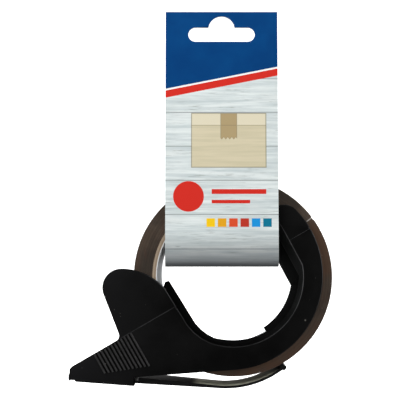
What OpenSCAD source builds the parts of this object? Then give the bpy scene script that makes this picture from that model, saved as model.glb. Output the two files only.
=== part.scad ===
// Hand-held packing tape dispenser with a full roll and a hang card.
// The origin is on the roll's axis, halfway across the tape. X runs from the nose
// to the back, Z is up, and the side plate lies on the -Y side of the roll.

/* [Tape roll] */
// Width of the tape
tape_w = 50; // [36:1:54]
// Outside diameter of the full roll
roll_d = 98.9; // [96:0.1:106]
// Bore of the paper core
core_bore = 76; // [75:0.5:77]
// Wall of the paper core, with its liner
core_wall = 2.2; // [1.6:0.1:4]
// Thickness of the white ply inside the core
liner_t = 0.4; // [0.3:0.1:0.8]
// Thickness of the outer turn of tape
turn_t = 0.3; // [0.2:0.05:0.5]
// Angle left open between the two ends of the outer turn
turn_open = 2; // [1:1:10]
// Direction of the tape's loose end, seen from the axis
tape_end_dir = 37; // [20:1:110]

/* [Hub] */
// Play between the hub and the core, on the radius
hub_play = 0.4; // [0.3:0.1:1]
// Wall of the hub
hub_wall = 2.2; // [1.6:0.1:3]
// How far the back segment stops short of the roll's far face
hub_back_short = 4; // [1:0.5:20]
// How far the nose segment stops short of the roll's far face
hub_nose_short = 14; // [2:0.5:30]
// How far it stops short of that face next to the back segment
hub_low_short = 24; // [15:0.5:30]
// Direction of the split between the back segment and the nose segment
hub_split_dir = -57; // [-65:1:-50]
// Direction at which the nose segment's edge has risen to its full reach
hub_rise_dir = -95; // [-105:1:-85]
// Direction of the flat on the back segment
back_flat_dir = 28; // [20:1:34]
// How far the back flat cuts inside the round of the hub
back_flat_cut = 1.8; // [0.5:0.1:3]
// Angle by which the back flat leans into the hub
back_flat_lean = 6.8; // [0:0.1:8]
// Direction of the flat on the nose segment
nose_flat_dir = 212; // [205:1:216]
// How far the nose flat cuts inside the round of the hub
nose_flat_cut = 2.6; // [1:0.1:5]
// Angle by which the nose flat leans into the hub
nose_flat_lean = 4.2; // [0:0.1:6]
// Radius of the round that leads from the nose flat into the hub
nose_round_r = 27; // [24:0.1:30.5]
// Direction in which the nose segment ends beside the lobe, at the plate
hub_end_dir = 193; // [186:1:196]
// Angle by which that end rises away from the plate
hub_end_lean = 6.5; // [2:0.5:9]

/* [Side plate] */
// Thickness of the side plate
plate_t = 2; // [1.5:0.1:3]
// Gap between the side plate and the roll
plate_gap = 2; // [1.8:0.1:4]
// How far the plate's window stands inside the hub
window_lip = 1; // [0.5:0.1:1.5]
// How far the plate stands out past the hub
plate_band = 9; // [5:0.1:11]
// Shift of the plate's round edge towards the nose
plate_shift = 2.4; // [0:0.1:3]
// Shift of the plate's round edge upwards
plate_rise = 0.9; // [0:0.1:1.5]
// Height of the arm's upper end above the axis
arm_top = 35.6; // [32:0.1:37]
// Radius of the arm's outer corner
arm_corner_r = 8; // [4:0.5:12]
// Distance of the arm's inner end from the axis
arm_end = 18; // [15:0.5:22]
// Direction of the bend line, which is also the top of the nose
bend_dir = 30; // [26:1:33]
// Distance of the bend line from the axis
bend_off = 1.5; // [0.5:0.1:3]
// Angle by which the plate leans towards the roll above the bend line
bend_lean = 3; // [1:0.5:3]
// Radius of the small notch at the end of the bend line
bend_notch_r = 0.4; // [0.3:0.1:1.2]

/* [Thumb lobe] */
// Distance of the lobe's highest point from the axis
lobe_reach = 55.5; // [52:0.5:58]
// Height of the lobe's top above the axis
lobe_top = 3.8; // [0:0.1:6]
// Radius of the lobe on the roll's side
lobe_roll_r = 29.2; // [25:0.1:32]
// Radius of the lobe on the nose side
lobe_nose_r = 9.3; // [7:0.1:11]
// Direction of the lobe's straight edge
lobe_edge_dir = 112; // [106:1:118]
// Radius of the inner corner between lobe and nose
lobe_fillet_r = 2.8; // [1.5:0.1:4]

/* [Nose] */
// Distance of the tip from the axis
nose_reach = 80.4; // [76:0.1:88]
// Depth of the tip's lower edge below the axis
nose_drop = 51.15; // [50:0.05:53]
// Slope of the underside of the nose, and of the plate's lower edge
nose_slope = 4.2; // [3:0.1:6]
// Distance of the floor's end from the axis
floor_end = 48.6; // [46:0.1:52]
// Size of the bevel on the tip's upper corner
tip_bevel = 1.2; // [0.5:0.1:2]
// Depth of the step under the tip
tip_step = 0.6; // [0.3:0.1:1]
// Length of the step under the tip
tip_step_len = 2.4; // [1.5:0.1:4]
// Thickness of the floor
floor_t = 1.5; // [1.2:0.1:2]
// How far the floor and blade run past the roll's far face
floor_over = 1; // [0:0.1:3]
// Thickness of the lip that carries the blade
lip_t = 1.6; // [1.2:0.1:2.5]
// Height of the lip
lip_h = 3; // [2.8:0.1:4.4]

/* [Grip ribs] */
// Number of grip ribs on the cheek
rib_count = 12; // [8:1:13]
// Distance from rib to rib
rib_pitch = 1.86; // [1.6:0.02:2.1]
// Width of a rib
rib_w = 1.1; // [0.8:0.1:1.4]
// Height of a rib
rib_h = 0.4; // [0.2:0.1:0.5]
// Distance of the last rib from the axis, along the bend line
rib_start = 57.6; // [56:0.1:60]
// Length of the longest rib
rib_long = 18.4; // [16:0.1:20]
// Length of the shortest rib
rib_short = 10.6; // [8:0.1:12]
// Distance of the ribs' upper ends from the bend line
rib_edge = 0.3; // [0.2:0.1:1.5]

/* [Blade] */
// Thickness of the blade
blade_t = 0.4; // [0.4:0.1:1]
// Height of the blade from its back to the tooth tips
blade_h = 3.5; // [3.2:0.1:4.4]
// Distance from tooth to tooth
tooth_pitch = 2; // [1.2:0.1:3]
// Height of a tooth
tooth_h = 1.2; // [0.8:0.1:1.5]
// Radius of a rivet's shank
rivet_r = 0.7; // [0.5:0.05:0.8]
// Radius of a rivet's head
rivet_head_r = 1.05; // [0.95:0.05:1.1]
// Height of a rivet's head
rivet_head_h = 0.5; // [0.3:0.05:0.8]
// Distance between the two rivets
rivet_span = 28; // [20:1:34]
// Play of the rivet in its holes, on the radius
rivet_play = 0.05; // [0.02:0.01:0.1]

/* [Brake tongue] */
// Width of the tongue
tongue_w = 16; // [10:0.5:22]
// Thickness of the tongue in its bend
tongue_t = 1.3; // [0.8:0.1:1.5]
// Thickness of the tongue next to its socket
tongue_root_t = 2.9; // [1.6:0.1:3.4]
// Slope of the straight stretch of the tongue
tongue_slope = 3.3; // [2:0.1:5]
// Length of the straight stretch of the tongue
tongue_run = 44; // [38:0.5:48]
// Radius of the bead on the tongue's root
root_r = 0.85; // [0.8:0.05:1]
// Play of the root bead in its socket, on the radius
root_play = 0.08; // [0.03:0.01:0.1]
// Height of the root bead's axis over the underside of the nose
root_lift = 1.6; // [1.5:0.05:2]
// Distance of the root bead's axis from the floor's end
root_inset = 1.7; // [1.5:0.1:2.2]
// Wall of the socket around the root bead
socket_wall = 0.8; // [0.6:0.1:1.5]
// Radius of the bead on the tongue's tip
tip_r = 1.4; // [1:0.1:1.8]
// Gap between the tip bead and the roll
tip_gap = 0.3; // [0.2:0.1:0.6]
// Direction of the tip bead, below the axis
tip_dir = 61; // [54:1:66]
// Gap between the tongue and the side plate
tongue_side_gap = 0.5; // [0.3:0.1:2]
// Angle by which the tongue can bend away from the roll
tongue_flex = 12; // [6:1:14]
// Room above and below the tongue in the socket's mouth
mouth_room = 0.25; // [0.15:0.05:0.4]

/* [Hang card] */
// Thickness of the card
card_t = 0.4; // [0.3:0.05:0.6]
// Width of the card
card_w = 56; // [46:0.1:58]
// Shift of the card's middle towards the nose
card_shift = 5.65; // [3:0.05:7]
// Height of the card's upper edge above the axis
card_top = 132.5; // [126:0.1:140]
// Height of the card's lower bend above the axis
card_low = 4.75; // [4:0.1:8]
// Radius of the bend in front
front_bend_r = 3; // [2:0.5:14]
// Radius of the bend at the back
back_bend_r = 5; // [3:0.5:9]
// Angle by which the card climbs on its way through the core
card_climb = 5; // [2:0.5:6]
// Gap between the card and the side plate
card_front_gap = 0.8; // [0.6:0.1:2]
// Gap between the card and the roll's far face
card_back_gap = 0.6; // [0.4:0.1:2]
// Height above the roll's top at which the back panel leans forward
lean_over_roll = 0.8; // [0.6:0.1:4]
// Height of the glued header, measured down from the card's upper edge
header_h = 46; // [36:1:50]
// Width of the peg slot
slot_w = 33.3; // [28:0.1:34]
// Height of the peg slot's wings
slot_h = 7.2; // [6:0.1:9]
// Distance of the slot's lower edge from the card's upper edge
slot_down = 15.2; // [13:0.1:18]
// Radius of the hump in the middle of the slot
hump_r = 6.6; // [5.6:0.1:7]
// Distance of the hump's top from the card's upper edge
hump_down = 2.3; // [1.8:0.1:4]

/* [Hidden] */
$fn = 96;

black = "#151515";
steel = "#4a4b4e";

function polar(r, a) = [r * cos(a), r * sin(a)];
// Points of an outline that follows an arc
function arc_points(c, r, from_a, to_a) =
    [for (i = [0:arc_steps]) c + polar(r, from_a + (to_a - from_a) * i / arc_steps)];
// Where the line through p along direction a crosses the bend line
function on_bend(p, a) = p + polar(1, a) * (bend_off - p * bend_up) / (polar(1, a) * bend_up);

// Larger than any outline, for half planes and wedges
far = 2 * (nose_reach + card_top);
// Steps in which an outline follows an arc
arc_steps = 24;

roll_r = roll_d / 2;
bore_r = core_bore / 2;
core_r = bore_r + core_wall;
winding_r = roll_r - turn_t;

// Places across the tape
near_y = -tape_w / 2;
far_y = tape_w / 2;
plate_in_y = near_y - plate_gap;
plate_out_y = plate_in_y - plate_t;
floor_far_y = far_y + floor_over;

// Hub and plate radii
hub_r = bore_r - hub_play;
hub_in_r = hub_r - hub_wall;
window_r = hub_in_r - window_lip;
plate_r = hub_r + plate_band;
plate_c = [-plate_shift, plate_rise];
// Round after the nose flat: how far its centre is from the axis, the direction in which it
// meets the hub's round, and the steps that follow it
round_off = hub_in_r - nose_round_r;
round_end_dir = nose_flat_dir + acos(1 - nose_flat_cut / round_off);
round_step = 10;
round_steps = floor((round_end_dir - nose_flat_dir) / round_step) - 1;
// Direction, inward cut and lean of each flat on the hub
hub_flats = concat(
    [[back_flat_dir, back_flat_cut, back_flat_lean]],
    [for (i = [0:round_steps])
        let (dir = nose_flat_dir + i * round_step)
        [dir, round_off * (1 - cos(round_end_dir - dir)),
         nose_flat_lean * (1 - i / (round_steps + 1))]]);
// Turns from the split past the nose segment's end, and to either side of that end
segment_turn = 150;
lobe_turn = 30;

// The bend line: along it, and square to it
bend_along = polar(1, bend_dir);
bend_up = polar(1, bend_dir + 90);
bend_tip = plate_c + polar(plate_r, bend_dir);

// Outer corner of the arm: its round touches the arm's top and the plate's round edge
corner_z = arm_top - arm_corner_r;
corner_dir = asin((corner_z - plate_rise) / (plate_r - arm_corner_r));
corner_c = plate_c + polar(plate_r - arm_corner_r, corner_dir);

// Lobe: centres of its two arcs, and the straight edge that runs down to the nose
lobe_roll_c = [-lobe_reach, lobe_top - lobe_roll_r];
lobe_nose_c = [-lobe_reach, lobe_top - lobe_nose_r];
lobe_tangent = lobe_nose_c + polar(lobe_nose_r, lobe_edge_dir + 90);
lobe_corner = on_bend(lobe_tangent, lobe_edge_dir);
// Inner corner of lobe and nose: its rays, and the fillet's centre
corner_half = (bend_dir + 180 - lobe_edge_dir) / 2;
fillet_run = lobe_fillet_r / tan(corner_half);
fillet_c = lobe_corner + polar(lobe_fillet_r / sin(corner_half), lobe_edge_dir + corner_half);

// Nose: heights of its underside and of its upper edge at a place along X
function under_z(x) = -nose_drop - (x + nose_reach) * tan(nose_slope);
function upper_z(x) = (bend_off + x * sin(bend_dir)) / cos(bend_dir);
foot_touch = plate_c + polar(plate_r, nose_slope - 90);
foot_end = [-floor_end, foot_touch[1] - (floor_end + foot_touch[0]) * tan(nose_slope)];
lip_top = tip_step + lip_h - nose_drop;

// Tongue: root, straight stretch from the socket's mouth, and the arc through the tip bead
root_c = [-floor_end - root_inset, under_z(-floor_end - root_inset) + root_lift];
run_along = polar(1, -tongue_slope);
run_up = polar(1, 90 - tongue_slope);
run_end = root_c + tongue_run * run_along;
mouth_run = 2 * root_inset;
tip_c = polar(roll_r + tip_gap + tip_r, -tip_dir);
tip_ahead = (tip_c - run_end) * run_along;
tip_rise = (tip_c - run_end) * run_up;
arc_r = (tip_ahead * tip_ahead + tip_rise * tip_rise) / (2 * tip_rise);
arc_c = run_end + arc_r * run_up;
arc_from = -90 - tongue_slope;
arc_to = atan2(tip_c[1] - arc_c[1], tip_c[0] - arc_c[0]);
tongue_y = plate_in_y + tongue_side_gap;

// Blade: its outer edges across the tape, and the height of its rivets
blade_teeth = floor((floor_far_y - plate_out_y) / tooth_pitch);
blade_low = -nose_drop;
rivet_z = lip_top - rivet_head_r;
rivet_y = [-rivet_span / 2, rivet_span / 2];

// Card: its panels' places across the tape, and its two bends
card_front_y = plate_out_y - card_front_gap - card_t / 2;
card_back_y = far_y + card_back_gap + card_t / 2;
glue_y = card_front_y + card_t;
card_up = polar(1, 90 + card_climb);
front_bend_c = [card_front_y + front_bend_r, card_low + front_bend_r + card_t / 2];
back_bend_y = card_back_y - back_bend_r;
back_bend_c = [back_bend_y,
    (front_bend_c * card_up + back_bend_r - front_bend_r - back_bend_y * card_up[0])
    / card_up[1]];
lean_z = roll_r + lean_over_roll;
header_z = card_top - header_h;
// Outward direction of the leaning part, and its height at a place across the tape
lean_out = polar(1, atan2(header_z - lean_z, glue_y - card_back_y) - 90);
function lean_height(y, out) = lean_z + (out - lean_out[0] * (y - card_back_y)) / lean_out[1];

// Shapes shared by several pieces

// Runs an outline of the XZ plane from one Y to another
module across(from_y, to_y)
    translate([0, to_y, 0]) rotate([90, 0, 0]) linear_extrude(to_y - from_y) children();

// Runs an outline of the YZ plane from one X to another
module along(from_x, to_x)
    translate([from_x, 0, 0]) rotate([90, 0, 90]) linear_extrude(to_x - from_x) children();

// Pie slice about the origin
module wedge(from_a, to_a)
    polygon([[0, 0], polar(far, from_a), polar(far, (from_a + to_a) / 2), polar(far, to_a)]);

// Strip of even width from p to q
module strip(p, q, w) {
    d = (q - p) / norm(q - p);
    n = [-d[1], d[0]] * w / 2;
    polygon([p - n, q - n, q + n, p + n]);
}

module tube(r_out, r_in)
    across(near_y, far_y) difference() {
        circle(r_out);
        circle(r_in);
    }

// Frame

module half_plane(dir, off) rotate(dir) translate([-far, -far]) square([far + off, 2 * far]);

// The open middle of the plate: a round just inside the hub's, with the same flats
module window()
    difference() {
        circle(window_r);
        for (flat = hub_flats) half_plane(flat[0] + 180, flat[1] - window_r);
    }

module round_band()
    difference() {
        translate(plate_c) circle(plate_r);
        translate([-far, arm_top]) square([2 * far, far]);
        polygon(concat(
            arc_points(corner_c, arm_corner_r, corner_dir, 90),
            [[corner_c[0], far], [far, far], corner_c + polar(far, corner_dir)]));
        polygon([[arm_end, far], [arm_end, 0], lobe_roll_c, [-far, lobe_roll_c[1]], [-far, far]]);
        translate(bend_tip) circle(bend_notch_r);
    }

module lobe() {
    intersection() {
        translate(lobe_roll_c) circle(lobe_roll_r);
        translate(lobe_roll_c) square(lobe_roll_r * 2);
    }
    intersection() {
        translate(lobe_nose_c) circle(lobe_nose_r);
        translate(lobe_nose_c) wedge(90, lobe_edge_dir + 90);
    }
}

// Everything between the lobe, the tip and the plate's lower edge; its last two points lie
// inside the round and the lobe
module nose_cheek()
    difference() {
        polygon([
            lobe_nose_c,
            lobe_tangent,
            lobe_corner + fillet_run * polar(1, lobe_edge_dir),
            lobe_corner - fillet_run * bend_along,
            [tip_bevel - nose_reach, upper_z(tip_bevel - nose_reach)],
            [-nose_reach, upper_z(tip_bevel - nose_reach) - tip_bevel],
            [-nose_reach, tip_step - nose_drop],
            [tip_step_len - nose_reach, tip_step - nose_drop],
            [tip_step_len + tip_step - nose_reach, under_z(tip_step_len + tip_step - nose_reach)],
            [-floor_end, under_z(-floor_end)],
            foot_end,
            foot_touch,
            [0, -hub_in_r / 2],
            lobe_roll_c + [lobe_roll_r / 2, 0]
        ]);
        translate(fillet_c) circle(lobe_fillet_r);
    }

module plate_shape() {
    round_band();
    lobe();
    nose_cheek();
}

module plate_outline()
    difference() {
        plate_shape();
        window();
    }

module above_bend() half_plane(bend_dir - 90, -bend_off);

// Leans a shape back about the bend line on the plate's outer face
module leaned() {
    pivot = [bend_off * bend_up[0], plate_out_y, bend_off * bend_up[1]];
    translate(pivot)
        rotate(a = -bend_lean, v = [bend_along[0], 0, bend_along[1]])
            translate(-pivot) children();
}

// Slab of the plate's thickness, bent along the bend line
module bent_slab() {
    bend = [plate_out_y, bend_off];
    up = polar(far, 90 - bend_lean);
    rotate([0, -bend_dir, 0]) along(-far, far) polygon([
        [plate_out_y, -far],
        bend,
        bend + up,
        bend + up + polar(plate_t, -bend_lean),
        [plate_in_y, bend_off - plate_t * tan(bend_lean / 2)],
        [plate_in_y, -far]
    ]);
}

module plate_body()
    intersection() {
        across(plate_out_y - plate_t, far_y) plate_outline();
        bent_slab();
    }

// Ribs stand square to the bend line, rooted in the plate, and grow longer towards the roll
module grip_ribs()
    for (i = [0:rib_count - 1]) {
        len = rib_long - (rib_long - rib_short) * i / (rib_count - 1);
        at = (bend_off - rib_edge) * bend_up - (rib_start + i * rib_pitch) * bend_along;
        across(plate_out_y - rib_h, plate_out_y + plate_t / 2) strip(at, at - len * bend_up, rib_w);
    }

module side_plate()
    color(black) union() {
        plate_body();
        grip_ribs();
    }

// Quarter space that the nose segment leaves free past its end
module past_hub_end()
    rotate([0, -hub_end_dir, 0]) translate([0, plate_in_y, 0]) rotate([-hub_end_lean, 0, 0])
        translate([0, -far, -far]) cube([far, 2 * far, far]);

// Half space outside a flat that leans into the hub
module outside_flat(dir, off, lean)
    rotate([0, -dir, 0]) translate([off, plate_in_y, 0]) rotate([0, 0, lean])
        translate([0, -far, -far]) cube([far, 2 * far, 2 * far]);

// The hub's round with its flats, out to radius r
module hub_round(r)
    difference() {
        across(plate_in_y, far_y) circle(r);
        for (flat = hub_flats) outside_flat(flat[0], r - flat[1], flat[2]);
    }

// What the nose segment lacks at the roll's far face: its edge rises away from the split
module nose_segment_cut() {
    split_x = hub_r * cos(hub_split_dir);
    rise_x = hub_r * cos(hub_rise_dir);
    intersection() {
        across(near_y, far_y) wedge(hub_split_dir - segment_turn, hub_split_dir);
        translate([0, 0, -hub_r]) linear_extrude(2 * hub_r) polygon([
            [split_x, far_y],
            [-hub_r, far_y],
            [-hub_r, far_y - hub_nose_short],
            [rise_x, far_y - hub_nose_short],
            [split_x, far_y - hub_low_short]
        ]);
    }
}

module hub_sleeve()
    color(black) difference() {
        intersection() {
            across(plate_in_y, far_y - hub_back_short) {
                plate_shape();
                wedge(hub_end_dir - lobe_turn, hub_end_dir + lobe_turn);
            }
            hub_round(hub_r);
        }
        hub_round(hub_in_r);
        leaned() across(plate_out_y - far, plate_in_y) above_bend();
        nose_segment_cut();
        past_hub_end();
    }

// Nose floor

module floor_outline() {
    end = [-floor_end, under_z(-floor_end)];
    step = [tip_step_len + tip_step - nose_reach, under_z(tip_step_len + tip_step - nose_reach)];
    polygon([
        [-nose_reach, lip_top],
        [-nose_reach, tip_step - nose_drop],
        [tip_step_len - nose_reach, tip_step - nose_drop],
        step,
        end,
        end + [0, floor_t],
        [lip_t - nose_reach, under_z(lip_t - nose_reach) + floor_t],
        [lip_t - nose_reach, lip_top]
    ]);
}

// Block over the floor that holds the tongue's root bead
module socket_outline() {
    half = root_r + root_play + socket_wall;
    polygon([
        [root_c[0] - half, under_z(root_c[0] - half) + floor_t / 2],
        [-floor_end, under_z(-floor_end) + floor_t / 2],
        [-floor_end, root_c[1] + half],
        [root_c[0] - half, root_c[1] + half]
    ]);
}

// Room for the root bead, and for the tongue from rest to its full bend
module socket_room() {
    half = tongue_t / 2 + mouth_room;
    bent = -tongue_slope - tongue_flex;
    translate(root_c) circle(root_r + root_play);
    polygon([
        root_c + half * run_up,
        root_c + half * run_up + mouth_run * run_along,
        root_c + polar(half, bent - 90) + polar(mouth_run, bent),
        root_c + polar(half, bent - 90)
    ]);
}

module rivet_holes()
    for (y = rivet_y)
        translate([-nose_reach - blade_t, y, rivet_z]) rotate([0, 90, 0])
            translate([0, 0, -lip_t]) cylinder(h = blade_t + 3 * lip_t, r = rivet_r + rivet_play);

module nose_floor()
    color(black) difference() {
        union() {
            across(plate_in_y, floor_far_y) floor_outline();
            across(plate_in_y, tongue_y + tongue_w + socket_wall) socket_outline();
        }
        across(plate_in_y, tongue_y + tongue_w + root_play) socket_room();
        rivet_holes();
    }

// Blade and its rivets

module cutting_blade() {
    from_y = plate_out_y;
    len = blade_teeth * tooth_pitch;
    color(steel) difference() {
        along(-nose_reach - blade_t, -nose_reach) polygon(concat(
            [[from_y, blade_low + blade_h], [from_y, blade_low + tooth_h]],
            [for (i = [0:blade_teeth - 1]) each [
                [from_y + (i + 0.5) * tooth_pitch, blade_low],
                [from_y + (i + 1) * tooth_pitch, blade_low + tooth_h]]],
            [[from_y + len, blade_low + blade_h]]));
        rivet_holes();
    }
}

module blade_rivets()
    color(steel) for (y = rivet_y)
        translate([-nose_reach - blade_t, y, rivet_z]) rotate([0, 90, 0]) {
            cylinder(h = blade_t + lip_t, r = rivet_r);
            translate([0, 0, -rivet_head_h])
                cylinder(h = rivet_head_h, r1 = rivet_r, r2 = rivet_head_r);
            translate([0, 0, blade_t + lip_t])
                cylinder(h = rivet_head_h, r1 = rivet_head_r, r2 = rivet_r);
        }

// Brake tongue

module brake_tongue()
    color(black) across(tongue_y, tongue_y + tongue_w) {
        translate(root_c) circle(root_r);
        polygon(concat(
            [root_c - tongue_t / 2 * run_up],
            arc_points(arc_c, arc_r + tongue_t / 2, arc_from, arc_to),
            arc_points(arc_c, arc_r - tongue_t / 2, arc_to, arc_from),
            [root_c + mouth_run * run_along + (tongue_root_t - tongue_t / 2) * run_up,
             root_c + mouth_run * run_along + tongue_t / 2 * run_up,
             root_c + tongue_t / 2 * run_up]));
        translate(tip_c) circle(tip_r);
    }

// Tape roll

module tape_core() color("#b39b78") tube(core_r, bore_r + liner_t);

module core_liner() color("#d9dce0") tube(bore_r + liner_t, bore_r);

module tape_winding() color("#4a3527") tube(winding_r, core_r);

module outer_turn()
    color("#563d2c") rotate([90, 0, 0]) rotate(tape_end_dir)
        rotate_extrude(angle = 360 - turn_open)
            translate([winding_r, near_y]) square([turn_t, tape_w]);

// Hang card

// Both bends and the corner of the back panel, seen along the roll from its nose side,
// at a distance outside the middle of the card
function card_round(out) = concat(
    arc_points(front_bend_c, front_bend_r + out, 180, 270 + card_climb),
    arc_points(back_bend_c, back_bend_r + out, 270 + card_climb, 360),
    [[card_back_y + out, lean_height(card_back_y + out, out)]]);

module card_path() {
    half = card_t / 2;
    difference() {
        polygon(concat(
            [[card_front_y - half, card_top]],
            card_round(half),
            [[glue_y + half, lean_height(glue_y + half, half)], [glue_y + half, card_top]]));
        polygon(concat(
            [[card_front_y + half, lean_height(card_front_y + half, -half)]],
            card_round(-half)));
    }
}

// Peg slot: a hump between two wings with round ends
module slot_outline() {
    wing = slot_w / 2 - slot_h / 2;
    translate([-card_shift, card_top - slot_down + slot_h / 2]) {
        square([2 * wing, slot_h], center = true);
        for (side = [-1, 1]) translate([side * wing, 0]) circle(slot_h / 2);
    }
    intersection() {
        translate([-card_shift, card_top - hump_down - hump_r]) circle(hump_r);
        translate([-far, card_top - slot_down]) square([2 * far, far]);
    }
}

module hang_card()
    color("#cfd6d8") difference() {
        along(-card_shift - card_w / 2, -card_shift + card_w / 2) card_path();
        across(card_front_y - 2 * card_t, glue_y + 2 * card_t) slot_outline();
    }

side_plate();
hub_sleeve();
nose_floor();
cutting_blade();
blade_rivets();
brake_tongue();
tape_core();
core_liner();
tape_winding();
outer_turn();
hang_card();
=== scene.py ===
import math

import bmesh
import bpy
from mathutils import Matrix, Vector


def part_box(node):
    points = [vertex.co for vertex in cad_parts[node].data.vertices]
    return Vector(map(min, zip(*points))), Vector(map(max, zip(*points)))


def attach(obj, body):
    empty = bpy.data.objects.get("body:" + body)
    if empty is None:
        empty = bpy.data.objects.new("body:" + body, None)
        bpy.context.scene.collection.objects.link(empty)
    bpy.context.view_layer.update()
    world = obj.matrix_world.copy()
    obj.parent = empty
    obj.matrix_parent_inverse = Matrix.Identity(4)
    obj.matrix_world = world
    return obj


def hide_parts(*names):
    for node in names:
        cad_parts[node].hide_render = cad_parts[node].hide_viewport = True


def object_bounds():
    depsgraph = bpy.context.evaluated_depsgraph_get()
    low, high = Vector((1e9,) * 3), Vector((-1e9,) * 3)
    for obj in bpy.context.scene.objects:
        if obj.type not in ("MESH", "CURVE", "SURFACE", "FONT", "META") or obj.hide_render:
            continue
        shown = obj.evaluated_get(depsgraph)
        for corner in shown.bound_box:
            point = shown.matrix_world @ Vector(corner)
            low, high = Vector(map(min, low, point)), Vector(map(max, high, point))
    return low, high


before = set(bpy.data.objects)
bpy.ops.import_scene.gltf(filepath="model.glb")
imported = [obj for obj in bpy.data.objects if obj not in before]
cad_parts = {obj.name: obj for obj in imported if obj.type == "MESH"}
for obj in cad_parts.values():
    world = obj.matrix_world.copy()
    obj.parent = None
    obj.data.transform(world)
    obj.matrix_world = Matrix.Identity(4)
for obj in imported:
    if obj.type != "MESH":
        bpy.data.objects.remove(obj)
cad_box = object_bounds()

MM = 0.001
WELD = 2e-6
FLAT_ANGLE = math.radians(0.5)
EDGE_ANGLE = math.radians(30)

# Sizes of the part, in millimetres
BEND_DIR, BEND_OFF = math.radians(30), 1.5
RIB_COUNT, RIB_PITCH, RIB_WIDTH, RIB_HEIGHT = 12, 1.86, 1.0, 0.4
RIB_START, RIB_LONG, RIB_SHORT, RIB_EDGE = 57.6, 18.4, 10.6, 0.3
RIB_PALE_FROM, RIB_PALE_FULL = 0.12, 0.36
FACE_SLACK = 0.1
PLATE_ROUND, HUB_ROUND, NOSE_ROUND, TONGUE_ROUND, BLADE_ROUND = 0.38, 0.3, 0.2, 0.2, 0.06
COLLAR_END = -8.0
TICK_DIR, TICK_FROM_R = math.radians(36.5), 46.0
TURN_STEPS, TURN_SIDES, TURN_UNEVEN, TURN_SEED = 46, 192, 0.06, 7
LINER_SEAM = 92.0
CARD_T = 0.4
FRONT_BEND_R, BACK_BEND_R, CARD_CLIMB = 3.0, 5.0, math.radians(5)
CARD_LOW, CARD_HEADER, LEAN_OVER = 4.75, 46.0, 0.8
BEND_STEP = 1.0


class Value:
    """A socket; sums and products on it add Math nodes to its tree."""

    def __init__(self, maker, socket):
        self.maker, self.socket = maker, socket

    def math(self, operation, *others):
        """A Math node that takes this value first."""
        return self.maker.calc(operation, self, *others)

    def __add__(self, other):
        return self.math("ADD", other)

    def __radd__(self, other):
        return self.maker.calc("ADD", other, self)

    def __sub__(self, other):
        return self.math("SUBTRACT", other)

    def __rsub__(self, other):
        return self.maker.calc("SUBTRACT", other, self)

    def __mul__(self, other):
        return self.math("MULTIPLY", other)

    def __rmul__(self, other):
        return self.maker.calc("MULTIPLY", other, self)

    def __truediv__(self, other):
        return self.math("DIVIDE", other)

    def __rtruediv__(self, other):
        return self.maker.calc("DIVIDE", other, self)

    def __pow__(self, other):
        return self.math("POWER", other)

    def __rpow__(self, other):
        return self.maker.calc("POWER", other, self)

    def __lt__(self, other):
        return self.math("LESS_THAN", other)

    def __gt__(self, other):
        return self.math("GREATER_THAN", other)

    def __abs__(self):
        return self.math("ABSOLUTE")

    def least(self, other):
        return self.math("MINIMUM", other)

    def most(self, other):
        return self.math("MAXIMUM", other)

    def ramp(self, start, end, low=0.0, high=1.0):
        """Runs smoothly from low to high while the value runs from start to end."""
        return self.maker.node("ShaderNodeMapRange", {"interpolation_type": "SMOOTHSTEP"},
                               {0: self, 1: start, 2: end, 3: low, 4: high})


class Maker:
    """Adds nodes to one tree."""

    def node(self, kind, settings=None, inputs=None, out=0):
        """A node of a type, with its settings first, then its sockets' values or links."""
        made = self.tree.nodes.new(kind)
        for key, value in (settings or {}).items():
            setattr(made, key, value)
        for key, value in (inputs or {}).items():
            self.feed(made.inputs[key], value)
        return Value(self, made.outputs[out])

    def feed(self, socket, value):
        if isinstance(value, Value):
            self.tree.links.new(value.socket, socket)
        else:
            socket.default_value = value

    def calc(self, operation, *numbers):
        return self.node("ShaderNodeMath", {"operation": operation}, dict(enumerate(numbers)))

    def parts(self, vector):
        split = self.node("ShaderNodeSeparateXYZ", inputs={0: vector})
        return [Value(self, s) for s in split.socket.node.outputs]

    def join(self, x, y, z):
        return self.node("ShaderNodeCombineXYZ", inputs={0: x, 1: y, 2: z})


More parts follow.
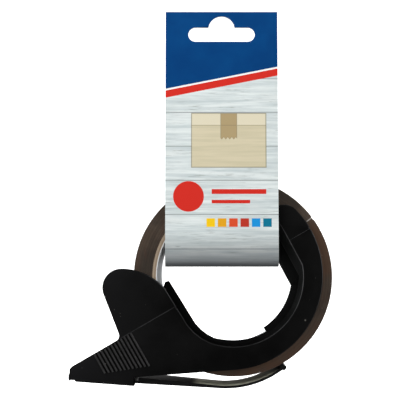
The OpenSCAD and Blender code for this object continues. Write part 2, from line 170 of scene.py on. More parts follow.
class Finish(Maker):
    """A procedural material: one Principled shader and the nodes that feed it.
    Scales of noise are per metre; all other lengths are millimetres."""

    def __init__(self, name):
        self.material = bpy.data.materials.new(name)
        self.material.use_nodes = True
        self.tree = self.material.node_tree
        self.shader = self.tree.nodes["Principled BSDF"]

    def surface(self, **inputs):
        for key, value in inputs.items():
            self.feed(self.shader.inputs[key.replace("_", " ")], value)
        return self.material

    def place(self):
        return self.node("ShaderNodeTexCoord", out="Object")

    def run(self, name):
        return self.node("ShaderNodeUVMap", {"uv_map": name})

    def in_mm(self, place):
        return [part / MM for part in self.parts(place)]

    def stretch(self, place, x, y, z):
        return self.node("ShaderNodeVectorMath", {"operation": "MULTIPLY"},
                         {0: place, 1: (x, y, z)})

    def noise(self, place, scale, detail=3.0, rough=0.55):
        return self.node("ShaderNodeTexNoise", inputs={
            "Vector": place, "Scale": scale, "Detail": detail, "Roughness": rough})

    def grain(self, place):
        """The finest grain of plastic and board."""
        return self.noise(place, 2600, 2)

    def rings(self, place, scale, detail, rough=0.55):
        """Noise that changes only with the distance from the roll's axis."""
        x, _, z = self.parts(place)
        radius = (x * x + z * z) ** 0.5
        return self.noise(self.join(radius, 0.0, 0.0), scale, detail, rough)

    def blend(self, factor, low, high):
        return self.node("ShaderNodeMix", {"data_type": "RGBA"},
                         {0: factor, 6: low, 7: high}, out=2)

    def layers(self, colour, *tones):
        """Lays tones over a colour in turn, each as far as its own mask says."""
        for mask, tone in tones:
            colour = self.blend(mask, colour, tone)
        return colour

    def specks(self, place, cell, size, share):
        """Sparse round specks: one in each cell of a share of the cells."""
        spots = self.node("ShaderNodeTexVoronoi", inputs={
            "Vector": place, "Scale": 1 / (cell * MM)})
        near = Value(self, spots.socket.node.outputs["Distance"])
        pick = self.node("ShaderNodeSeparateColor", inputs={
            0: Value(self, spots.socket.node.outputs["Color"])})
        chance, grow = (Value(self, pick.socket.node.outputs[i]) for i in (0, 1))
        return (near < grow * (size / cell)) * (chance < share)

    def bump(self, height, strength, depth):
        return self.node("ShaderNodeBump", inputs={
            "Height": height, "Strength": strength, "Distance": depth * MM})


def shade(red, green, blue):
    """A colour given as it looks on a screen, from 0 to 255."""
    def linear(c):
        c /= 255
        return c / 12.92 if c <= 0.04045 else ((c + 0.055) / 1.055) ** 2.4
    return (linear(red), linear(green), linear(blue), 1.0)


def grey(level):
    return shade(level, level, level)


# Finishes

GRAIN_BUMP = (0.12, 0.05)


def moulded_black(name, low, high, gloss, specular, tint, marks=None):
    """Satin black moulding with fine grain and dust; marks adds what one piece alone shows."""
    finish = Finish(name)
    place = finish.place()
    cloud = finish.noise(place, 60, 4)
    grain = finish.grain(place)
    dust = finish.specks(place, 7, 0.55, 0.10)
    fluff = finish.specks(place, 3.1, 0.22, 0.12)
    colour = finish.blend(cloud.ramp(0.3, 0.7), grey(low), grey(high))
    if marks:
        colour = marks(finish, place, colour)
    colour = finish.blend((dust * 0.5).most(fluff * 0.35), colour, shade(120, 117, 112))
    return finish.surface(
        Base_Color=colour, Roughness=gloss + cloud * 0.1 + grain * 0.06,
        Specular_IOR_Level=specular, Specular_Tint=(tint, tint, tint, 1),
        Normal=finish.bump(grain, *GRAIN_BUMP))


def plate_marks(finish, place, colour):
    """Paler towards the nose, partly wear and partly a painted lighter tone on the lobe that
    leans up to the light, with a painted highlight along the bend line and painted shade between
    the ribs.
    """
    x, _, z = finish.in_mm(place)
    off = x * -math.sin(BEND_DIR) + z * math.cos(BEND_DIR) - BEND_OFF
    # painted highlight along the bend line, where the crease catches the light
    line = abs(off).ramp(0.05, 0.28, 1, 0)
    highlight_and_rub = finish.noise(finish.stretch(place, 1, 0.2, 1), 160, 2).ramp(0.3, 0.65, 0.35, 1)

    reach = x * -math.cos(BEND_DIR) - z * math.sin(BEND_DIR) - RIB_START
    last = (RIB_COUNT - 1) * RIB_PITCH
    below = off * -1 - RIB_EDGE
    foot = RIB_LONG - reach * ((RIB_LONG - RIB_SHORT) / last)
    # painted shade in the grooves between the ribs
    rib_gap_shade = reach.ramp(-0.6, 0) * (reach - last).ramp(0, 0.6, 1, 0)
    rib_gap_shade = rib_gap_shade * below.ramp(-0.2, 0.3) * (below - foot).ramp(-0.3, 0, 1, 0)
    return finish.layers(colour, (x.ramp(-82, -30, 0.85, 0), shade(25, 25, 26)),
                         (line * highlight_and_rub * 0.8, shade(52, 52, 53)), (rib_gap_shade * 0.85, grey(2)))


def hub_painted_sheen(finish, place, colour):
    """Painted sheen: the mouth lighter grey on the side away from the nose, most towards the top,
    with a painted highlight along the collar's rim.
    """
    x, y, z = finish.in_mm(place)
    # painted sheen, lighter on the side away from the nose and towards the top, where the light
    # falls
    side = x.ramp(8, 26) * z.ramp(-25, 10, 0.1, 1)
    mouth = y.ramp(COLLAR_END, COLLAR_END + 1, 1, 0.25)
    rim_highlight = abs(y - COLLAR_END).ramp(0.2, 0.6, 1, 0)
    patchy = finish.noise(place, 60, 4).ramp(0.35, 0.6)
    return finish.layers(colour, (side * mouth, shade(46, 47, 47)),
                         (side * rim_highlight * patchy, shade(62, 63, 63)))


def edge_highlight_and_wear():
    """Rounded edges of the plate: a painted highlight, partly wear, grey where they catch the
    light and where hands and the roll pass, black elsewhere.
    """
    finish = Finish("edge_highlight_and_wear")
    place = finish.place()
    x, _, z = finish.in_mm(place)
    # painted highlight where the edges catch the light, broken up like wear
    highlight_and_rub = finish.noise(place, 70, 3).ramp(0.3, 0.65, 0.35, 1)
    highlight_and_rub = highlight_and_rub * (x.ramp(-52, -30, 0.06, 0.85) + x.ramp(0, 30, 0, 0.15))
    highlight_and_rub = highlight_and_rub * z.ramp(18, 30, 1, 0.25) * z.ramp(-42, -36, 0.15, 1) * z.ramp(-20, -3, 0.38, 1)
    grain = finish.grain(place)
    return finish.surface(
        Base_Color=finish.blend(highlight_and_rub, grey(10), shade(72, 72, 73)),
        Roughness=0.6 + grain * 0.1, Specular_IOR_Level=0.01,
        Normal=finish.bump(grain, *GRAIN_BUMP))


def tongue_painted_reflection(front_y):
    """Black leaf with a painted reflection: dull olive grey on its top where the tape runs over
    its bend, and a little smoother there.
    """
    finish = Finish("tongue_painted_reflection")
    place = finish.place()
    x, y, _ = finish.in_mm(place)
    inside = (y - front_y / MM).ramp(0.1, 0.5)
    bend = x.ramp(-21, -16) * x.ramp(17, 23, 1, 0)
    drag = finish.noise(finish.stretch(place, 0.2, 1, 1), 700, 3)
    grain = finish.grain(place)
    # painted reflection of the bright surroundings on the leaf's top
    pale_mask = inside * bend * drag.ramp(0.25, 0.6, 0.75, 1)
    return finish.surface(
        Base_Color=finish.blend(pale_mask, grey(9), shade(152, 152, 136)),
        Roughness=0.5 - pale_mask * 0.12 + grain * 0.08, Specular_IOR_Level=0.12,
        Normal=finish.bump(grain, *GRAIN_BUMP))


def pale_topped_rib(face_y):
    """The ribs' tops, a paler grey than the plate."""
    finish = Finish("pale_topped_rib")
    place = finish.place()
    _, y, _ = finish.in_mm(place)
    top = (face_y / MM - y).ramp(RIB_PALE_FROM, RIB_PALE_FULL)
    pale_mask = finish.noise(place, 420, 3).ramp(0.25, 0.75, 0.55, 1)
    grain = finish.grain(place)
    return finish.surface(
        Base_Color=finish.blend(top * pale_mask, grey(7), grey(46)),
        Roughness=0.5 + grain * 0.1, Specular_IOR_Level=0.2,
        Normal=finish.bump(grain, 0.15, 0.05))


def blade_steel():
    """Drawn steel strip with faint stains."""
    finish = Finish("blade_steel")
    place = finish.place()
    drawn = finish.noise(finish.stretch(place, 1, 0.03, 1), 3000, 3)
    stain = finish.noise(place, 240, 4)
    return finish.surface(
        Base_Color=finish.blend(stain.ramp(0.35, 0.7), shade(116, 117, 120), shade(78, 78, 80)),
        Metallic=1.0, Roughness=0.3 + drawn * 0.22, Normal=finish.bump(drawn, 0.2, 0.03))


def wound_edge():
    """The side of the roll: hundreds of thin turns seen edge on, dusty and slightly uneven."""
    finish = Finish("wound_edge")
    place = finish.place()
    x, _, z = finish.in_mm(place)
    turns = finish.rings(place, 2400, 4, 0.7)
    bands = finish.rings(place, 420, 2)
    smear = finish.noise(place, 45, 4)
    warm = finish.noise(place, 34, 3)
    drag = finish.noise(finish.stretch(place, 1, 1, 0.25), 300, 4)
    dust = finish.specks(place, 2.6, 0.3, 0.2)
    # a pale radial tick near the rim
    out = x * math.cos(TICK_DIR) + z * math.sin(TICK_DIR)
    off = abs(z * math.cos(TICK_DIR) - x * math.sin(TICK_DIR))
    pale_tick = off.ramp(0.12, 0.34, 1, 0) * (out > TICK_FROM_R)
    colour = finish.blend(turns.ramp(0.3, 0.7), shade(50, 39, 30), shade(86, 71, 58))
    colour = finish.layers(
        colour,
        (bands.ramp(0.45, 0.75, 0, 0.55), shade(44, 33, 26)),
        (smear.ramp(0.5, 0.75, 0, 0.35), shade(98, 88, 77)),
        (warm.ramp(0.48, 0.62, 0, 0.8), shade(82, 56, 37)),
        (warm.ramp(0.36, 0.47, 0.75, 0), shade(43, 37, 30)),
        (drag.ramp(0.45, 0.75, 0, 0.4), shade(72, 44, 30)),
        ((dust * 0.45).most(pale_tick * 0.9), shade(190, 184, 176)))
    return finish.surface(
        Base_Color=colour, Roughness=0.42 + turns * 0.2, Specular_IOR_Level=0.3,
        Normal=finish.bump(turns, 0.35, 0.08))


def brown_film():
    """Glossy brown film, cloudy where the turns below show through."""
    finish = Finish("brown_film")
    place = finish.place()
    cloud = finish.noise(place, 70, 4)
    fine = finish.noise(finish.stretch(place, 1, 0.08, 1), 900, 3)
    return finish.surface(
        Base_Color=finish.blend(cloud.ramp(0.3, 0.7), shade(66, 48, 36), shade(88, 66, 50)),
        Roughness=0.27 + fine * 0.16, Specular_IOR_Level=0.45,
        Coat_Weight=0.12, Coat_Roughness=0.2, Normal=finish.bump(cloud, 0.15, 0.3))


def core_board():
    """Grey-brown board, with its wound plies showing on the end."""
    finish = Finish("core_board")
    place = finish.place()
    plies = finish.rings(place, 1500, 2)
    fibre = finish.noise(place, 900, 5, 0.65)
    colour = finish.blend(plies.ramp(0.35, 0.65), shade(150, 131, 112), shade(178, 160, 138))
    colour = finish.blend(fibre.ramp(0.5, 0.8, 0, 0.6), colour, shade(122, 104, 88))
    return finish.surface(
        Base_Color=colour, Roughness=0.82, Specular_IOR_Level=0.25,
        Normal=finish.bump(fibre, 0.4, 0.12))


def liner_paper():
    """White ply whose edges meet in a slanting seam."""
    finish = Finish("liner_paper")
    place = finish.place()
    x, y, z = finish.in_mm(place)
    turn = z.math("ARCTAN2", x) / (2 * math.pi)
    seam = (y / LINER_SEAM + turn).math("FRACT")
    line = abs(seam - 0.5).ramp(0.0, 0.006, 1, 0)
    fibre = finish.noise(place, 700, 5, 0.6)
    colour = finish.blend(fibre.ramp(0.3, 0.75), shade(226, 229, 231), shade(241, 243, 245))
    colour = finish.blend(line * 0.7, colour, shade(150, 146, 140))
    return finish.surface(
        Base_Color=colour, Roughness=0.7, Specular_IOR_Level=0.3,
        Normal=finish.bump(fibre + line * -1.5, 0.25, 0.08))


def bare_board(name, low, high):
    """Unprinted board with fibres and darker flecks."""
    finish = Finish(name)
    place = finish.place()
    fibre = finish.noise(place, 800, 5, 0.65)
    fleck = finish.grain(place)
    colour = finish.blend(fibre.ramp(0.3, 0.7), low, high)
    colour = finish.blend(fleck.ramp(0.62, 0.75, 0, 0.4), colour, shade(140, 136, 130))
    return finish.surface(Base_Color=colour, Roughness=0.85, Specular_IOR_Level=0.25,
                          Normal=finish.bump(fibre, 0.3, 0.06))


# A plain print: dark blue header over pale planks, a carton, a disc and colour swatches.
# All lengths of the print are millimetres across and down the card.
HEADER_MID, HEADER_SLOPE = 33.5, 0.2
RULE_W, STRIPE_W = 0.9, 3.6
PLANK_H, PLANK_GAP = 17.0, 0.3
CARTON_AT, CARTON_SIZE, CARTON_LID = (3.5, 65.0), (37.0, 27.0), 6.0
CARTON_TAPE_W, CARTON_TAPE_H = 8.0, 13.0
TOOTH_PITCH, TOOTH_DEPTH = 1.0, 1.2
FOLD_LINE, CARTON_LINE = 0.25, 0.35
DISC_AT, DISC_R = (-16.5, 93.0), 7.6
BARS = ((8.5, 90.6, 27.0, 2.4), (4.5, 95.6, 19.0, 1.7))
SWATCH_DOWN, SWATCH_SIZE, SWATCH_STEP, SWATCH_FIRST = 106.0, 4.2, 5.6, -5.5
SWATCHES = (shade(250, 205, 30), shade(233, 168, 34), shade(222, 82, 48),
            shade(190, 58, 44), shade(32, 150, 222), shade(20, 120, 150))
PRINT_RED, PRINT_WHITE = shade(214, 48, 38), shade(246, 246, 244)
# painted shade at the card's foot, where it bends away from the light
FOOT_SHADE_FROM, FOOT_SHADE = 22.0, 0.92


def printed_card(front_end, flap_start):
    """Coated card; the front panel is printed, with a painted shade at its foot, and the run
    behind it keeps the planks alone, darkened as painted shade.
    """
    finish = Finish("printed_card")
    run = finish.run("card_run")
    across, down, _ = finish.in_mm(run)

    def off_box(at, size):
        """Distance outside the sides of a box; negative inside it."""
        return (abs(across - at[0]) - size[0] / 2).most(abs(down - at[1]) - size[1] / 2)

    def line(distance, width):
        return abs(distance).ramp(width * 0.4, width, 1, 0)

    def streaks(along, over, detail=3.0, rough=0.55):
        return finish.noise(finish.stretch(run, along, over, 1), 1.0, detail, rough)

    grain = streaks(30, 520, 5, 0.6)
    patch = streaks(26, 130)
    fine = streaks(120, 1700, 4, 0.6)
    knots = streaks(45, 190).ramp(0.42, 0.66)
    cloud = finish.noise(run, 55, 3)
    tooth = finish.noise(run, 1500, 3)
    plank = (down / PLANK_H).math("FRACT")
    gap = (plank.least(1 - plank) * PLANK_H).ramp(PLANK_GAP * 0.3, PLANK_GAP, 1, 0)
    ground = finish.blend(grain.ramp(0.32, 0.7), shade(196, 207, 208), shade(232, 239, 238))
    ground = finish.layers(
        ground,
        (patch.ramp(0.5, 0.75, 0, 0.6), shade(238, 242, 240)),
        (cloud.ramp(0.45, 0.75, 0, 0.4), shade(204, 213, 212)),
        (fine.ramp(0.52, 0.7, 0, 0.75) * knots, shade(146, 154, 150)),
        (gap * grain.ramp(0.25, 0.6, 0.5, 0.95), shade(128, 136, 136)))

    carton = off_box(CARTON_AT, CARTON_SIZE)
    lid_down = down - (CARTON_AT[1] - CARTON_SIZE[1] / 2)
    saw = (across / TOOTH_PITCH).math("PINGPONG", 1.0) * TOOTH_DEPTH
    strip = abs(across - CARTON_AT[0]) - CARTON_TAPE_W / 2
    strip = strip.most(lid_down + saw - CARTON_TAPE_H)
    folds = line(lid_down - CARTON_LID, FOLD_LINE).most(line(strip, FOLD_LINE))
    board = finish.blend(grain.ramp(0.3, 0.7), shade(206, 197, 166), shade(219, 209, 180))
    board = finish.layers(board, (lid_down < CARTON_LID, shade(226, 218, 192)),
                          (strip < 0.0, shade(178, 158, 118)), (folds * 0.6, shade(140, 128, 98)))
    colour = finish.layers(ground, (carton < 0.0, board),
                           (line(carton, CARTON_LINE) * 0.7, shade(136, 126, 98)))

    from_x, from_y = across - DISC_AT[0], down - DISC_AT[1]
    disc = from_x * from_x + from_y * from_y < DISC_R ** 2
    colour = finish.blend(disc, colour, PRINT_RED)
    for x, y, wide, high in BARS:
        colour = finish.blend(off_box((x, y), (wide, high)) < 0.0, colour, PRINT_RED)
    for step, swatch in enumerate(SWATCHES):
        at = (SWATCH_FIRST + step * SWATCH_STEP, SWATCH_DOWN)
        colour = finish.blend(off_box(at, (SWATCH_SIZE, SWATCH_SIZE)) < 0.0, colour, swatch)

    edge = down + across * HEADER_SLOPE - HEADER_MID
    flap = down > flap_start
    behind = (down > front_end) * (1 - flap)
    # painted shade: the foot darkens where the card bends away, and the run behind gets its
    # planks darker
    foot = down.ramp(front_end - FOOT_SHADE_FROM, front_end, 0, FOOT_SHADE)
    navy = finish.blend(cloud.ramp(0.3, 0.7), shade(0, 60, 118), shade(2, 68, 127))
    colour = finish.layers(
        colour,
        ((edge > 0.0) * (edge < RULE_W + STRIPE_W), PRINT_RED),
        ((edge > 0.0) * (edge < RULE_W), PRINT_WHITE),
        ((edge < 0.0).most(flap), navy),
        (behind, finish.blend(0.45, ground, shade(146, 157, 160))),
        (foot * (1 - behind) * (1 - flap), shade(78, 80, 84)))
    return finish.surface(
        Base_Color=colour, Roughness=0.45 + tooth * 0.12, Specular_IOR_Level=0.06,
        Coat_Weight=0.02, Coat_Roughness=0.25, Normal=finish.bump(tooth + cloud, 0.12, 0.06))


# Shapes

FACE_SLOT, EDGE_SLOT, WALL_SLOT = range(3)
PRINT_SLOT, INSIDE_SLOT, CUT_SLOT = range(3)
FACING = 0.5
EDGE_STEPS, ARC_STEPS, RIB_SIDES = 3, 24, 16


def piece(name, mesh, materials):
    if not mesh.materials:
        for material in materials:
            mesh.materials.append(material)
    made = bpy.data.objects.new(name, mesh)
    bpy.context.scene.collection.objects.link(made)
    return made


def as_mesh(made, name):
    """The finished shape of an object as a plain mesh, with the object and modifiers gone."""
    bpy.context.view_layer.update()
    graph = bpy.context.evaluated_depsgraph_get()
    mesh = bpy.data.meshes.new_from_object(made.evaluated_get(graph), depsgraph=graph)
    mesh.name = name
    bpy.data.objects.remove(made)
    return mesh


def joined(node):
    """A copy of a CAD node with its loose triangles joined, and no face left that ends inside."""
    shape = bmesh.new()
    shape.from_mesh(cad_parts[node].data)
    bmesh.ops.remove_doubles(shape, verts=shape.verts[:], dist=WELD)
    loose = True
    while loose:
        loose = [f for f in shape.faces if any(e.is_boundary for e in f.edges)]
        bmesh.ops.delete(shape, geom=loose, context="FACES")
    return shape


def flattened(shape):
    bmesh.ops.dissolve_limit(shape, angle_limit=FLAT_ANGLE, verts=shape.verts[:],
                             edges=shape.edges[:])
    return shape


def plain_mesh(shape, name):
    mesh = bpy.data.meshes.new(name)
    shape.to_mesh(mesh)
    shape.free()
    return mesh


def softened(shape, name, width, material, edge_material=None, wall_material=None):
    """Joins flat faces and rounds the outer edges, which a moulding never has sharp.
    Walls are the faces that look neither to the front nor to the back."""
    flattened(shape)
    weight = shape.edges.layers.float.new("bevel_weight_edge")
    for edge in shape.edges:
        if len(edge.link_faces) == 2 and edge.is_convex and edge.calc_face_angle() > EDGE_ANGLE:
            edge[weight] = 1.0
    for face in shape.faces:
        face.smooth = True
        face.material_index = WALL_SLOT if abs(face.normal.y) < FACING else FACE_SLOT
    materials = [material, edge_material or material, wall_material or material]
    made = piece(name, plain_mesh(shape, name), materials)
    soft = made.modifiers.new("edge", "BEVEL")
    soft.width, soft.segments, soft.limit_method = width * MM, EDGE_STEPS, "WEIGHT"
    soft.use_clamp_overlap, soft.harden_normals = False, True
    soft.material = EDGE_SLOT
    return piece(name, as_mesh(made, name), materials)


class Form(Maker):
    """A Geometry Nodes tree with named sizes, which becomes a plain mesh."""

    def __init__(self, name, **sizes):
        self.name, self.sizes = name, sizes
        self.tree = bpy.data.node_groups.new(name, "GeometryNodeTree")
        face = self.tree.interface
        kinds = {int: "NodeSocketInt", float: "NodeSocketFloat",
                 bpy.types.Material: "NodeSocketMaterial"}
        for label, size in sizes.items():
            face.new_socket(label, in_out="INPUT", socket_type=kinds[type(size)])
        face.new_socket("Geometry", in_out="OUTPUT", socket_type="NodeSocketGeometry")
        self.given = self.tree.nodes.new("NodeGroupInput")

    def __getitem__(self, label):
        return Value(self, self.given.outputs[label])

    def become(self, shape):
        real = self.node("GeometryNodeRealizeInstances", inputs={0: shape})
        done = self.node("GeometryNodeSetMaterial", inputs={
            "Geometry": real, "Material": self["material"]})
        self.feed(self.tree.nodes.new("NodeGroupOutput").inputs[0], done)
        host = piece(self.name + "_host", bpy.data.meshes.new(self.name), [])
        maker = host.modifiers.new(self.name, "NODES")
        maker.node_group = self.tree
        for item in self.tree.interface.items_tree:
            if item.in_out == "INPUT":
                maker[item.identifier] = self.sizes[item.name]
        mesh = as_mesh(host, self.name)
        return piece(self.name, mesh, [self.sizes["material"]])


def grip_ribs(material, face_y):
    """Bars square to the bend line, longer towards the roll, with round backs."""
    form = Form("grip_ribs", count=RIB_COUNT, pitch=RIB_PITCH * MM, width=RIB_WIDTH * MM,
                height=RIB_HEIGHT * MM, start=RIB_START * MM, longest=RIB_LONG * MM,
                shortest=RIB_SHORT * MM, edge=(BEND_OFF - RIB_EDGE) * MM, face=face_y,
                direction=BEND_DIR, material=material)
    index = form.node("GeometryNodeInputIndex")
    dots = form.node("GeometryNodeMeshLine", inputs={"Count": form["count"]})
    share = index / (form["count"] - 1)
    reach = form["start"] + index * form["pitch"]
    length = form["longest"] - (form["longest"] - form["shortest"]) * share
    cosine, sine = (form["direction"].math(f) for f in ("COSINE", "SINE"))
    middle = form["edge"] - length / 2
    spot = form.join(cosine * reach * -1 - sine * middle, form["face"],
                     cosine * middle - sine * reach)
    dots = form.node("GeometryNodeSetPosition", inputs={"Geometry": dots, "Position": spot})
    bar = form.node("GeometryNodeMeshCylinder", {"fill_type": "NGON"}, {
        "Vertices": RIB_SIDES, "Radius": 0.5, "Depth": 1.0})
    bars = form.node("GeometryNodeInstanceOnPoints", inputs={
        "Points": dots, "Instance": bar, "Rotation": form.join(0.0, form["direction"] * -1, 0.0),
        "Scale": form.join(form["width"], form["height"] * 2, length)})
    return form.become(bars)


def wound_ring(material, inner, outer, near_y, far_y):
    """The roll's winding: a ring whose sides step in and out from turn to turn."""
    form = Form("wound_ring", inner=inner, outer=outer, near=near_y, far=far_y,
                steps=TURN_STEPS, round=TURN_SIDES, uneven=TURN_UNEVEN * MM, seed=TURN_SEED,
                material=material)
    steps = form["steps"]
    grid = form.node("GeometryNodeMeshGrid", inputs={
        "Size X": 1.0, "Size Y": 1.0, "Vertices X": form["round"] + 1,
        "Vertices Y": steps * 2 + 1})
    x, y, _ = form.parts(form.node("GeometryNodeInputPosition"))
    turn = (x + 0.5) * (2 * math.pi)
    along = ((y + 0.5) * (steps * 2)).math("ROUND").math("MODULO", steps * 2)
    far_side = along > steps - 0.5
    count = along + far_side * (steps * 2 - 1 - along * 2)
    radius = form["inner"] + (form["outer"] - form["inner"]) * count / (steps - 1)
    jitter = form.node("FunctionNodeRandomValue", {"data_type": "FLOAT"}, {
        2: 0.0, 3: 1.0, "ID": along, "Seed": form["seed"]}, out=1)
    depth = jitter * form["uneven"]
    side = (form["near"] + depth) * (1 - far_side) + (form["far"] - depth) * far_side
    spot = form.join(turn.math("COSINE") * radius, side, turn.math("SINE") * radius)
    ring = form.node("GeometryNodeSetPosition", inputs={"Geometry": grid, "Position": spot})
    ring = form.node("GeometryNodeMergeByDistance", inputs={
        "Geometry": ring, "Distance": 0.5 * WELD})
    ring = form.node("GeometryNodeFlipFaces", inputs={0: ring})
    ring = form.node("GeometryNodeSetShadeSmooth", inputs={"Geometry": ring})
    return form.become(ring)


def card_line(low, high):
    """Middle line of the card from its front top edge, round both bends, to the flap's top."""
    half = CARD_T * MM / 2
    front_y, back_y = low.y + half, high.y - half
    top, glue_y = high.z, low.y + 3 * half
    front_r, back_r = FRONT_BEND_R * MM, BACK_BEND_R * MM
    up = Vector((-math.sin(CARD_CLIMB), math.cos(CARD_CLIMB)))
    front_c = Vector((front_y + front_r, CARD_LOW * MM + front_r + half))
    back_at = back_y - back_r
    back_c = Vector((back_at, (front_c.dot(up) + back_r - front_r - back_at * up.x) / up.y))
    lean_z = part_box("outer_turn")[1].z + LEAN_OVER * MM

    def arc(centre, radius, start, end):
        for i in range(ARC_STEPS + 1):
            turn = start + (end - start) * i / ARC_STEPS
            yield centre + radius * Vector((math.cos(turn), math.sin(turn)))

    line = [Vector((front_y, top))]
    line += arc(front_c, front_r, math.pi, 1.5 * math.pi + CARD_CLIMB)
    front_end = len(line) - 1
    line += arc(back_c, back_r, 1.5 * math.pi + CARD_CLIMB, 2 * math.pi)
    line.append(Vector((back_y, lean_z)))
    line.append(Vector((glue_y, top - CARD_HEADER * MM)))
    flap_start = len(line) - 1
    line.append(Vector((glue_y, top)))
    reach = [0.0]
    for a, b in zip(line, line[1:]):
        reach.append(reach[-1] + (b - a).length)
    return line, reach, reach[front_end] / MM, reach[flap_start] / MM


def hang_card(low, high):
    """The card with its print laid along its run: outside printed, inside bare, edges white."""
    line, reach, front_end, flap_start = card_line(low, high)
    shape = flattened(joined("hang_card"))
    bmesh.ops.triangulate(shape, faces=shape.faces[:])
    run = shape.loops.layers.uv.new("card_run")
    middle = (low.x + high.x) / 2

    def nearest(spot):
        """How far along the run a point lies, and which way the run goes there."""
        best = None
        for i, (a, b) in enumerate(zip(line, line[1:])):
            along = b - a
            share = max(0.0, min(1.0, (spot - a).dot(along) / along.length_squared))
            gap = (spot - a - along * share).length
            if best is None or gap < best[0]:
                best = (gap, reach[i] + along.length * share, along)
        return best[1:]

    for face in shape.faces:
        centre = face.calc_center_median()
        _, along = nearest(Vector((centre.y, centre.z)))
        face.smooth = along.length < BEND_STEP * MM
        along = along.normalized()
        outward = face.normal.y * along.y - face.normal.z * along.x
        face.material_index = (PRINT_SLOT if outward > FACING else
                               INSIDE_SLOT if outward < -FACING else CUT_SLOT)
        for loop in face.loops:
            spot = loop.vert.co
            down, _ = nearest(Vector((spot.y, spot.z)))
            loop[run].uv = (spot.x - middle, down)
    mesh = plain_mesh(shape, "card")
    made = piece("card", mesh, [
        printed_card(front_end, flap_start),
        bare_board("card_inside", shade(196, 195, 190), shade(214, 213, 208)),
        bare_board("card_edge", shade(224, 224, 221), shade(240, 240, 238))])
    mesh.set_sharp_from_angle(angle=EDGE_ANGLE)
    return made


# Dressing of the part

plate_black = moulded_black("plate_black", 5, 12, 0.36, 0.2, 0.2, plate_marks)
# The hub and the plate's walls are the same black moulding as the plate, painted darker as
# painted shade inside the hub, and almost without gloss.
hub_black = moulded_black("hub_black", 2, 5, 0.7, 0.0015, 0.5, hub_painted_sheen)
wall_black = moulded_black("wall_black", 3, 7, 0.7, 0.0015, 0.5)
nose_black = moulded_black("nose_black", 4, 9, 0.42, 0.12, 0.3)
blade_grey = blade_steel()

# The plate's own ribs are cut away, because the rounded ones take their place.
plate_shape = joined("side_plate")
plate_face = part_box("side_plate")[0].y + RIB_HEIGHT * MM
raised = [v for v in plate_shape.verts if v.co.y < plate_face - FACE_SLACK * MM]
bmesh.ops.delete(plate_shape, geom=raised, context="VERTS")
bmesh.ops.holes_fill(plate_shape, edges=[e for e in plate_shape.edges if e.is_boundary])
plate = softened(plate_shape, "plate", PLATE_ROUND, plate_black, edge_highlight_and_wear(), wall_black)
hub = softened(joined("hub_sleeve"), "hub", HUB_ROUND, hub_black)
floor_plate = softened(joined("nose_floor"), "nose_bottom", NOSE_ROUND, nose_black)
tongue = softened(joined("brake_tongue"), "tongue", TONGUE_ROUND,
                  tongue_painted_reflection(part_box("brake_tongue")[0].y))
blade = softened(joined("cutting_blade"), "blade", BLADE_ROUND, blade_grey)
ribs = grip_ribs(pale_topped_rib(plate_face), plate_face)

roll_low, roll_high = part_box("tape_winding")
core_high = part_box("tape_core")[1]
winding = wound_ring(wound_edge(), core_high.z, roll_high.z, roll_low.y, roll_high.y)
card = hang_card(*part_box("hang_card"))

for node, material in (("blade_rivets", blade_grey), ("tape_core", core_board()),
                       ("core_liner", liner_paper()), ("outer_turn", brown_film())):
    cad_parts[node].data.materials.clear()
    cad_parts[node].data.materials.append(material)

for made, body, node, slot in (
        (plate, "frame", "side_plate", "black_plastic"),
        (hub, "frame", "hub_sleeve", "black_plastic"),
        (floor_plate, "frame", "nose_floor", "black_plastic"),
        (blade, "frame", "cutting_blade", "blade_steel"),
        (tongue, "tongue", "brake_tongue", "black_plastic"),
        (winding, "roll", "tape_winding", "brown_tape"),
        (card, "card", "hang_card", "printed_card")):
    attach(made, body)
    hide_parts(node)
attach(ribs, "frame")

# Studio, in metres. The floor lies low enough for the tongue to swing clear of it.
TONGUE_DROP = 11 * MM
STAGE_WIDE, STAGE_NEAR, STAGE_FAR, STAGE_HIGH = 4.0, -3.0, 0.8, 3.0
SWEEP_R, SWEEP_STEPS = 0.8, 16
RING_R, RING_SIDES = 2.9, 96
BACKDROP_GLOW, FLOOR_GLOW, RING_GLOW, WORLD_GLOW = 0.62, 0.85, 1.0, 0.45
LIGHT_AIM = Vector((0, 0, 0.02))
# Name, place, width and watts of each light
LIGHTS = (("left_light", (-0.75, -0.35, 0.55), 0.6, 10.2),
          ("right_light", (0.8, -0.3, 0.45), 0.6, 5.6),
          ("top_light", (0.0, 0.0, 1.0), 0.8, 3),
          ("back_light", (-0.5, 0.7, 0.3), 0.5, 2.2))
LENS, SENSOR, SHIFT_X, SHIFT_Y, CLIP_START = 62.08, 36.0, 0.0048, 0.05, 0.01
EYE_AT = (-17.4 * MM, -370.0 * MM, 7.6 * MM)
EYE_TILT = math.radians(90 + 3.4)

floor_z = cad_box[0].z - TONGUE_DROP


def stage_white(name, glow):
    finish = Finish(name)
    cloud = finish.noise(finish.place(), 3, 2)
    colour = finish.blend(cloud, grey(250), grey(253))
    return finish.surface(Base_Color=colour, Roughness=0.9, Specular_IOR_Level=0.0,
                          Emission_Color=colour, Emission_Strength=glow)


def stage_sheet(name, line, material):
    """A wide white sheet over a line of the YZ plane; gloss doesn't mirror it."""
    mesh = bpy.data.meshes.new(name)
    mesh.from_pydata(
        [(x, y, z) for y, z in line for x in (-STAGE_WIDE, STAGE_WIDE)], [],
        [(2 * i, 2 * i + 1, 2 * i + 3, 2 * i + 2) for i in range(len(line) - 1)])
    mesh.polygons.foreach_set("use_smooth", [True] * len(mesh.polygons))
    sheet = piece(name, mesh, [material])
    sheet.visible_glossy = False
    return sheet


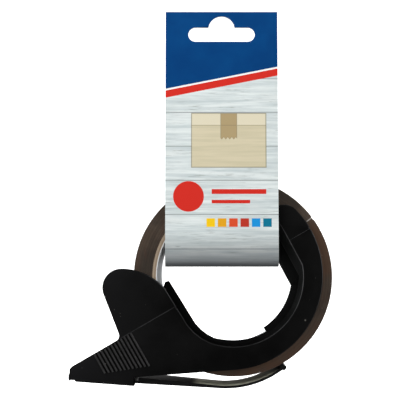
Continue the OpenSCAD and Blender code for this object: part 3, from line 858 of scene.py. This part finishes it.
def stage_ring(name, material):
    """A round white wall behind every side of the part, which adds no light."""
    turns = [2 * math.pi * i / RING_SIDES for i in range(RING_SIDES)]
    corners = [(RING_R * math.cos(turn), RING_R * math.sin(turn), z)
               for turn in turns for z in (floor_z, STAGE_HIGH)]
    mesh = bpy.data.meshes.new(name)
    mesh.from_pydata(corners, [], [
        [(2 * i + corner) % len(corners) for corner in (0, 1, 3, 2)] for i in range(RING_SIDES)])
    ring = piece(name, mesh, [material])
    ring.visible_glossy = ring.visible_diffuse = ring.visible_shadow = False


def soft_light(name, spot, size, power):
    lamp = bpy.data.lights.new(name, "AREA")
    lamp.shape, lamp.size, lamp.energy = "DISK", size, power
    made = bpy.data.objects.new(name, lamp)
    made.location = spot
    made.rotation_euler = (LIGHT_AIM - Vector(spot)).to_track_quat("-Z", "Y").to_euler()
    bpy.context.scene.collection.objects.link(made)


sweep = [(STAGE_FAR + SWEEP_R * math.sin(turn), floor_z + SWEEP_R - SWEEP_R * math.cos(turn))
         for turn in (math.pi / 2 * i / SWEEP_STEPS for i in range(SWEEP_STEPS + 1))]
stage_sheet("backdrop", sweep + [(STAGE_FAR + SWEEP_R, STAGE_HIGH)],
            stage_white("studio_white", BACKDROP_GLOW))
floor = stage_sheet("floor", [(STAGE_NEAR, floor_z), (STAGE_FAR, floor_z)],
                    stage_white("floor_white", FLOOR_GLOW))
floor.visible_diffuse = False
stage_ring("surround", stage_white("surround_white", RING_GLOW))
for light in LIGHTS:
    soft_light(*light)

scene = bpy.context.scene
scene.world = bpy.data.worlds.new("studio")
scene.world.use_nodes = True
sky = scene.world.node_tree.nodes["Background"].inputs
sky["Color"].default_value = (1, 1, 1, 1)
sky["Strength"].default_value = WORLD_GLOW
scene.view_settings.view_transform = "Standard"

camera = bpy.data.cameras.new("camera")
camera.lens, camera.sensor_width = LENS, SENSOR
camera.shift_x, camera.shift_y = SHIFT_X, SHIFT_Y
camera.clip_start = CLIP_START
eye = bpy.data.objects.new("camera", camera)
eye.location = EYE_AT
eye.rotation_euler = (EYE_TILT, 0, 0)
scene.collection.objects.link(eye)
scene.camera = eye
